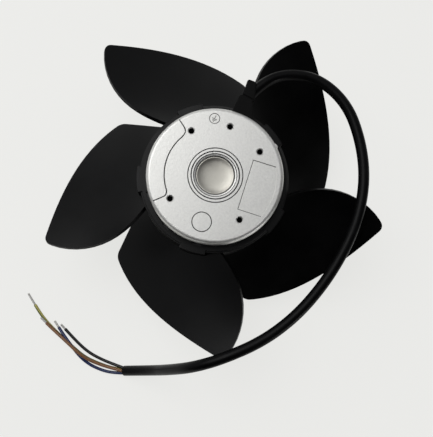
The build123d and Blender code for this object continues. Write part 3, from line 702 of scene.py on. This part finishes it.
hole_places = [polar(HOLE_CIRCLE, HOLE_FIRST + 90 * i) for i in range(4)] + [polar(*EARTH_HOLE)]
flange = add_turned("flange_casting", FLANGE_PROFILE, steps=180)
bosses = [add_rod("boss", 3.3, place, -10.2, -1.8) for place in hole_places]
ribs = [add_block("rib", (23.8, 1.6, 3.8), HOLE_FIRST + 22.5 + 45 * i, (26.7, 0, -3.7)) for i in range(8)]
nub = add_rod("nub", 2.4, polar(38.3, 26.5), -8.4, -1.2)
round_edges(nub, 0.7, segments=3)
combine(flange, join_shapes("bosses", bosses), "UNION")
combine(flange, join_shapes("ribs", ribs), "UNION")
combine(flange, nub, "UNION")
entry = add_block("entry", (8.0, 9.0, 6.2), 66.5, (38.5, 0, -5.8))
combine(flange, entry, "DIFFERENCE")

teeth = int(HOLE_DEPTH / THREAD_PITCH) - 1
hole_profile = [(0, 0.5), (SINK_RADIUS + 0.5, 0.5), (SINK_RADIUS, 0), (HOLE_PROFILE_RADIUS, -SINK_DEPTH)]
for tooth in range(teeth):
    top = -SINK_DEPTH - 0.2 - tooth * THREAD_PITCH
    hole_profile += [(HOLE_PROFILE_RADIUS, top), (THREAD_RADIUS, top - THREAD_PITCH / 2)]
    hole_profile += [(HOLE_PROFILE_RADIUS, top - THREAD_PITCH)]
hole_profile += [(HOLE_PROFILE_RADIUS, -HOLE_DEPTH + 0.4), (0, -HOLE_DEPTH)]
hole = add_turned("hole", hole_profile, steps=32, closed=False)
holes = [set_place(copy_shape(hole, "hole_cut"), 0, (*place, 0)) for place in hole_places]
bpy.data.objects.remove(hole)

crescent = [polar(40.6, 122.6), polar(33.2, 122.6), polar(32.1, 122.9), polar(30.6, 124.4), polar(29.8, 127.4)]
crescent += arc_points(29.4, 130.5, 193.5, 24)
crescent += [polar(29.4, 197.2), polar(29.7, 199.8), polar(30.5, 201.9), polar(31.6, 203.0), polar(40.6, 203.2)]
field = [(22.0, 9.2), (12.6, -19.9), *arc_points(35.6, -42.9, 8.2, 24)]
sign = (-0.3, 33.4)
sign_turn = radians(-28)


def sign_point(x, y):
    """A point of the earth sign, turned in its ring."""
    return sign[0] + x * cos(sign_turn) - y * sin(sign_turn), sign[1] + x * sin(sign_turn) + y * cos(sign_turn)


lines = [
    add_line_cutter("crescent", crescent, LINE_RADIUS),
    add_ring_cutter("pad", (-7.9, -27.1), 5.6, 0.8 * LINE_RADIUS),
    add_ring_cutter("sign_ring", sign, 3.0, SIGN_LINE_RADIUS),
    add_line_cutter("sign_stem", [sign_point(0, 2.0), sign_point(0, 0.2)], SIGN_LINE_RADIUS),
]
for half, drop in ((1.5, 0.0), (1.0, -0.75), (0.5, -1.5)):
    lines.append(add_line_cutter("bar", [sign_point(-half, drop - 0.2), sign_point(half, drop - 0.2)], SIGN_LINE_RADIUS))
# The second aluminium is a near black: painted shade in the grooves, the tapped holes, the field's walls and the
# wall round the cap.
for number, (colour, lows) in enumerate((((0.83, 0.827, 0.80), 0.42), ((0.030, 0.030, 0.030), 0.55))):
    dark = [0.88 * value for value in colour]
    name = ("cast_aluminium_finish", "cast_aluminium_painted_shade")[number]
    cast, nodes, links, shader = new_material(name, metallic=(0.9, 0.0)[number], specular=(0.5, 0.25)[number])
    add_patchy(cast, 700, dark, colour, lows, lows + 0.12)
    add_grain(cast, (2400, 5000)[number], 0.00010, 0.5)
    flange.data.materials.append(cast)
for cutter in lines + holes:
    for cast in flange.data.materials:
        cutter.data.materials.append(cast)
# The grooves take painted shade all over, the holes below their countersinks.
for cutter in lines:
    paint_shade_faces(cutter)
for cutter in holes:
    paint_shade_faces(cutter, -SINK_DEPTH)
tray = add_tray("rating_field", field)
for cast in flange.data.materials:
    tray.data.materials.append(cast)
# The field's sloping walls take painted shade, all but the one along the rim.
for face in tray.data.polygons:
    along_arc = sqrt(face.center.x ** 2 + face.center.y ** 2) > 35.3 * MM
    face.material_index = int(abs(face.normal.z) < 0.9 and not along_arc)
combine(flange, join_shapes("cuts", [tray, *holes, *lines]), "DIFFERENCE")
# Painted shade on the wall round the cap and in the ring grooves.
for face in flange.data.polygons:
    distance = sqrt(face.center.x ** 2 + face.center.y ** 2) / MM
    in_line = any(inner < distance < outer for inner, outer in RING_LINES)
    if in_line and RING_LINE_FLOOR < face.center.z / MM < RING_LINE_TOP:
        face.material_index = 1
finish_shading(flange, 32)
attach(flange, "stator")
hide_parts("stator_flange")

# Bearing cap: a disc of stainless sheet, dished by a press, that closes the
# tube over the upper bearing. It is pressed in and holds by its edge.
CAP_PROFILE = [
    (0, -2.32), (2.5, -2.30), (5.0, -2.22), (7.0, -2.06), (8.4, -1.86), (9.4, -1.62), (10.0, -1.40),
    (10.4, -1.25), (10.7, -1.2), (10.9, -1.25), (11.0, -1.4), (11.0, -2.0), (10.6, -2.05),
    (9.6, -2.25), (8.0, -2.6), (5.0, -2.85), (0, -2.9),
]
cap = add_turned("cap_pressing", CAP_PROFILE, steps=96, closed=False)
bpy.ops.object.shade_smooth_by_angle(angle=radians(40))
sheet, nodes, links, shader = new_material("cap_steel_finish", metallic=1.0)
add_patchy(sheet, 120, (0.46, 0.445, 0.40), (0.54, 0.525, 0.475), 0.38, 0.48)
add_grain(sheet, 3500, 0.00003, 0.4)
cap.data.materials.append(sheet)
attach(cap, "stator")
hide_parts("bearing_cap")

# Impeller: one moulding in glass filled polyamide, satin black. Its hub is
# pressed over the rotor cup, and the five sickle blades stand on the hub.
HUB_PROFILE = [
    (41.2, -60.0), (44.1, -60.0), (44.4, -59.7), (44.4, -11.2), (44.1, -10.9), (43.5, -10.9),
    (43.5, -10.3), (43.2, -10.0), (39.5, -10.0), (39.2, -10.3), (39.2, -12.0), (41.2, -12.0),
]
BLADE_STATIONS = [
    (24.0, -15.5, 36.0, 2.8), (42.0, -27.3, 30.2, 2.5), (58.0, -33.4, 27.5, 2.2),
    (76.0, -38.2, 28.0, 1.9), (102.0, -41.8, 30.0, 1.6),
]
FRONT_EDGE = [(30.0, 9.0), (40.5, 27.8), (52.6, 42.6), (69.5, 51.6), (93.7, 50.9)]
TIP_EDGE = [(93.7, 50.9), (91.4, 23.1), (84.7, -5.5), (66.1, -36.3)]
REAR_ROOT = (16.0, -35.8)
BLADE_ANGLE = 28.0
BLADE_CAMBER = 3.0
BLADE_HALF_CHORD = 56.0
BLADE_MIDDLE = 8.0
GRID = 3.0


def curve_through(knots, values, wanted):
    """Values on the lowest polynomial that goes through all the given ones."""
    return np.polyval(np.polyfit(knots, values, len(knots) - 1), wanted)


def smooth_line(points, count):
    """Points along a smooth line through the given ones."""
    places = np.array(points)
    knots = np.concatenate(([0], np.cumsum(np.linalg.norm(np.diff(places, axis=0), axis=1))))
    wanted = np.linspace(0, knots[-1], count)
    return list(zip(curve_through(knots, places[:, 0], wanted), curve_through(knots, places[:, 1], wanted)))


def blade_height(reach, across):
    """The height of a blade's middle surface, in millimetres."""
    knots, heights, slopes, _ = zip(*BLADE_STATIONS)
    height = curve_through(knots, heights, reach)
    slope = radians(curve_through(knots, slopes, reach))
    chord = (across - BLADE_MIDDLE) / cos(slope)
    for _ in range(4):
        camber = BLADE_CAMBER * (1 - (chord / BLADE_HALF_CHORD) ** 2)
        chord = (across - BLADE_MIDDLE + camber * sin(slope)) / cos(slope)
    return height + chord * sin(slope) + camber * cos(slope)


def make_blade():
    """One blade: its outline cut into a grid, raised to its height and given its wall."""
    outline = smooth_line(FRONT_EDGE, 18)[:-1] + smooth_line(TIP_EDGE, 18)
    outline += [(16 + (66.1 - 16) * (8 - i) / 9, -35.8 - 0.5 * (8 - i) / 9) for i in range(8)] + [REAR_ROOT]
    shape = draw_mesh("blade", [(x, y, 0) for x, y in outline], [], [list(range(len(outline)))])
    open_edit(shape)
    bpy.ops.mesh.select_all(action="DESELECT")
    bpy.ops.object.mode_set(mode="OBJECT")
    for corner in (TIP_EDGE[0], TIP_EDGE[-1]):
        nearest = min(shape.data.vertices, key=lambda v: (v.co.x / MM - corner[0]) ** 2 + (v.co.y / MM - corner[1]) ** 2)
        nearest.select = True
    bpy.ops.object.mode_set(mode="EDIT")
    bpy.ops.mesh.bevel(offset=3.0 * MM, segments=5, affect="VERTICES")
    for axis, first, last in (((1, 0, 0), 18, 96), ((0, 1, 0), -36, 54)):
        for place in np.arange(first, last, GRID):
            bpy.ops.mesh.select_all(action="SELECT")
            point = [value * place * MM for value in axis]
            bpy.ops.mesh.bisect(plane_co=point, plane_no=axis)
    bpy.ops.mesh.select_all(action="SELECT")
    bpy.ops.mesh.remove_doubles(threshold=0.05 * MM)
    bpy.ops.object.mode_set(mode="OBJECT")
    knots, _, _, walls = zip(*BLADE_STATIONS)
    wall = shape.vertex_groups.new(name="wall")
    for vertex in shape.data.vertices:
        reach, across = vertex.co.x / MM, vertex.co.y / MM
        vertex.co.z = blade_height(reach, across) * MM
        wall.add([vertex.index], float(curve_through(knots, walls, reach)) / walls[0], "REPLACE")
    thick = shape.modifiers.new("thick", "SOLIDIFY")
    thick.thickness = walls[0] * MM
    thick.offset = 0
    thick.vertex_group = "wall"
    apply_modifiers(shape)
    face_outwards(shape)
    round_edges(shape, 0.45, sharp=50, segments=3)
    combine(shape, add_rod("root_cut", 42.8, (0, 0), -80, 20, 160), "DIFFERENCE")
    return set_place(shape, BLADE_ANGLE)


one_blade = make_blade()


def raise_outline(shape, height):
    """Pulls a flat face along Z into a closed block, in millimetres."""
    open_edit(shape)
    bpy.ops.mesh.extrude_region_move(TRANSFORM_OT_translate={"value": (0, 0, height * MM)})
    bpy.ops.object.mode_set(mode="OBJECT")
    face_outwards(shape)


lug_outline = arc_points(46.0, 27.0, 47.0, 9) + arc_points(42.8, 47.0, 27.0, 9)
lug = draw_mesh("lug", [(x, y, -10) for x, y in lug_outline], [], [list(range(18))])
raise_outline(lug, -17)
round_edges(lug, 0.4)
blades = [set_place(copy_shape(one_blade, "blade_copy"), 72 * i) for i in range(5)]
lugs = [set_place(copy_shape(lug, "lug_copy"), 72 * i) for i in range(5)]
bpy.data.objects.remove(one_blade)
bpy.data.objects.remove(lug)
impeller = add_turned("impeller_moulding", HUB_PROFILE, steps=180)
notches = [add_block("notch", (4.0, 5.0, 2.6), 15 + 30 * i, (39.2, 0, -11.0)) for i in range(12)]
combine(impeller, join_shapes("notches", notches), "DIFFERENCE")
combine(impeller, join_shapes("lugs", lugs), "UNION")
combine(impeller, join_shapes("blades", blades), "UNION")
finish_shading(impeller, 38)
satin, nodes, links, shader = new_material("impeller_polyamide", specular=0.20)
add_patchy(satin, 35, (0.0003, 0.0003, 0.00035), (0.0008, 0.0008, 0.0009), 0.30, 0.40)
add_grain(satin, 1800, 0.00003, 0.2)
impeller.data.materials.clear()
impeller.data.materials.append(satin)
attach(impeller, "rotor")
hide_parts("impeller")

# Boot: black rubber moulded over the lead where it leaves the flange. A base
# block seats on the flange's side, a waist lets it give, and the outer block
# holds the lead. Its neck and collar snap in the slot of the skirt.
BOOT_TOP = -1.3
BOOT_HEIGHT = 8.0
BOOT_BASE = [(7.4, 33.2), (22.4, 27.0), (22.4, 45.0), (15.0, 49.2)]
BOOT_BARREL = [(15.6, 46.6), (23.2, 43.6), (24.8, 56.2), (19.6, 58.2)]
ENTRY_TURN = 66.5


def add_boot_block(outline, corner_round):
    """A block with its outer corners rounded, then all its edges softened."""
    shape = draw_mesh("boot_block", [(x, y, BOOT_TOP) for x, y in outline], [], [[0, 1, 2, 3]])
    bpy.ops.object.select_all(action="DESELECT")
    for vertex in shape.data.vertices:
        vertex.select = vertex.index in (2, 3)
    shape.data.polygons[0].select = False
    bpy.context.view_layer.objects.active = shape
    shape.select_set(True)
    bpy.ops.object.mode_set(mode="EDIT")
    bpy.ops.mesh.bevel(offset=corner_round * MM, segments=5, affect="VERTICES")
    bpy.ops.object.mode_set(mode="OBJECT")
    raise_outline(shape, -BOOT_HEIGHT)
    round_edges(shape, 0.6, sharp=60, segments=3)
    return shape


boot = add_boot_block(BOOT_BASE, 1.6)
combine(boot, add_boot_block(BOOT_BARREL, 1.4), "UNION")
for height in (BOOT_TOP + 0.04, BOOT_TOP - BOOT_HEIGHT - 0.04):
    combine(boot, add_line_cutter("waist", [(12.0, 51.2), (23.6, 44.9)], 0.45, height=height), "DIFFERENCE")
combine(boot, add_rod("waist_side", 0.5, (15.2, 49.5), -12, 2, 16), "DIFFERENCE")
combine(boot, add_rod("flange_side", 40.0, (0, 0), -12, 2, 180), "DIFFERENCE")
combine(boot, add_block("neck", (6.2, 8.96, 5.66), ENTRY_TURN, (38.3, 0, -5.55)), "UNION")
combine(boot, add_block("collar", (1.6, 12.0, 4.70), ENTRY_TURN, (35.8, 0, -6.0)), "UNION")
bore = lay_cord("bore", JACKET_ROUTE[:5], JACKET_DIAMETER + 0.0004)
bpy.ops.object.select_all(action="DESELECT")
bore.select_set(True)
bpy.context.view_layer.objects.active = bore
bpy.ops.object.convert(target="MESH")
bore = bpy.context.object
face_outwards(bore)
combine(boot, bore, "DIFFERENCE")
finish_shading(boot, 40)
rubber, nodes, links, shader = new_material("boot_rubber_finish", specular=0.10)
add_patchy(rubber, 160, (0.0010, 0.0010, 0.0010), (0.0024, 0.0024, 0.0024), 0.48, 0.62)
add_grain(rubber, 1500, 0.00004)
boot.data.materials.clear()
boot.data.materials.append(rubber)
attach(boot, "stator")
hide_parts("cable_boot")

# The rest are CAD nodes that keep their shape and get the finish of their
# material: the drawn cup with baked black paint, and the steel, copper and plastic pieces inside, which show only when it is apart.
NODE_FINISHES = {
    "rotor_cup": ("cup_paint", (0.010, 0.010, 0.010), 0.38, 0.0, 900, 0.00003),
    "stator_core": ("sheet_stack", (0.42, 0.43, 0.45), 0.42, 1.0, 900, 0.00002),
    "rotor_laminations": ("rotor_sheets", (0.42, 0.43, 0.45), 0.42, 1.0, 900, 0.00002),
    "rotor_cage": ("cage_casting", (0.74, 0.75, 0.76), 0.45, 1.0, 1200, 0.00005),
    "upper_insulator": ("insulator_upper", (0.80, 0.77, 0.68), 0.5, 0.0, 900, 0.00002),
    "lower_insulator": ("insulator_lower", (0.80, 0.77, 0.68), 0.5, 0.0, 900, 0.00002),
    "stator_winding": ("enamelled_wire", (0.55, 0.22, 0.07), 0.3, 0.8, 1500, 0.00015),
    "thermal_cutout": ("cutout_sleeve_finish", (0.75, 0.72, 0.62), 0.5, 0.0, 1500, 0.00003),
    "winding_leads": ("lead_sleeve", (0.55, 0.50, 0.42), 0.45, 0.0, 1500, 0.00002),
    "retaining_ring": ("spring_black", (0.05, 0.05, 0.05), 0.4, 0.8, 3000, 0.00001),
}
STEEL_NODES = ["shaft", "preload_spring", "rotor_hub"] + [
    side + "_bearing_" + piece for side in ("upper", "lower")
    for piece in ("outer_ring", "inner_ring", "cage", "shields", "balls")]
for node_name in STEEL_NODES:
    NODE_FINISHES[node_name] = (node_name + "_steel", (0.60, 0.60, 0.60), 0.25, 1.0, 4000, 0.00001)
for node_name, (name, colour, rough, metallic, scale, depth) in NODE_FINISHES.items():
    finish, nodes, links, shader = new_material(name, metallic=metallic)
    add_patchy(finish, 80, [0.8 * value for value in colour], colour, rough, rough + 0.12)
    add_grain(finish, scale, depth)
    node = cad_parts[node_name]
    node.data.materials.clear()
    node.data.materials.append(finish)
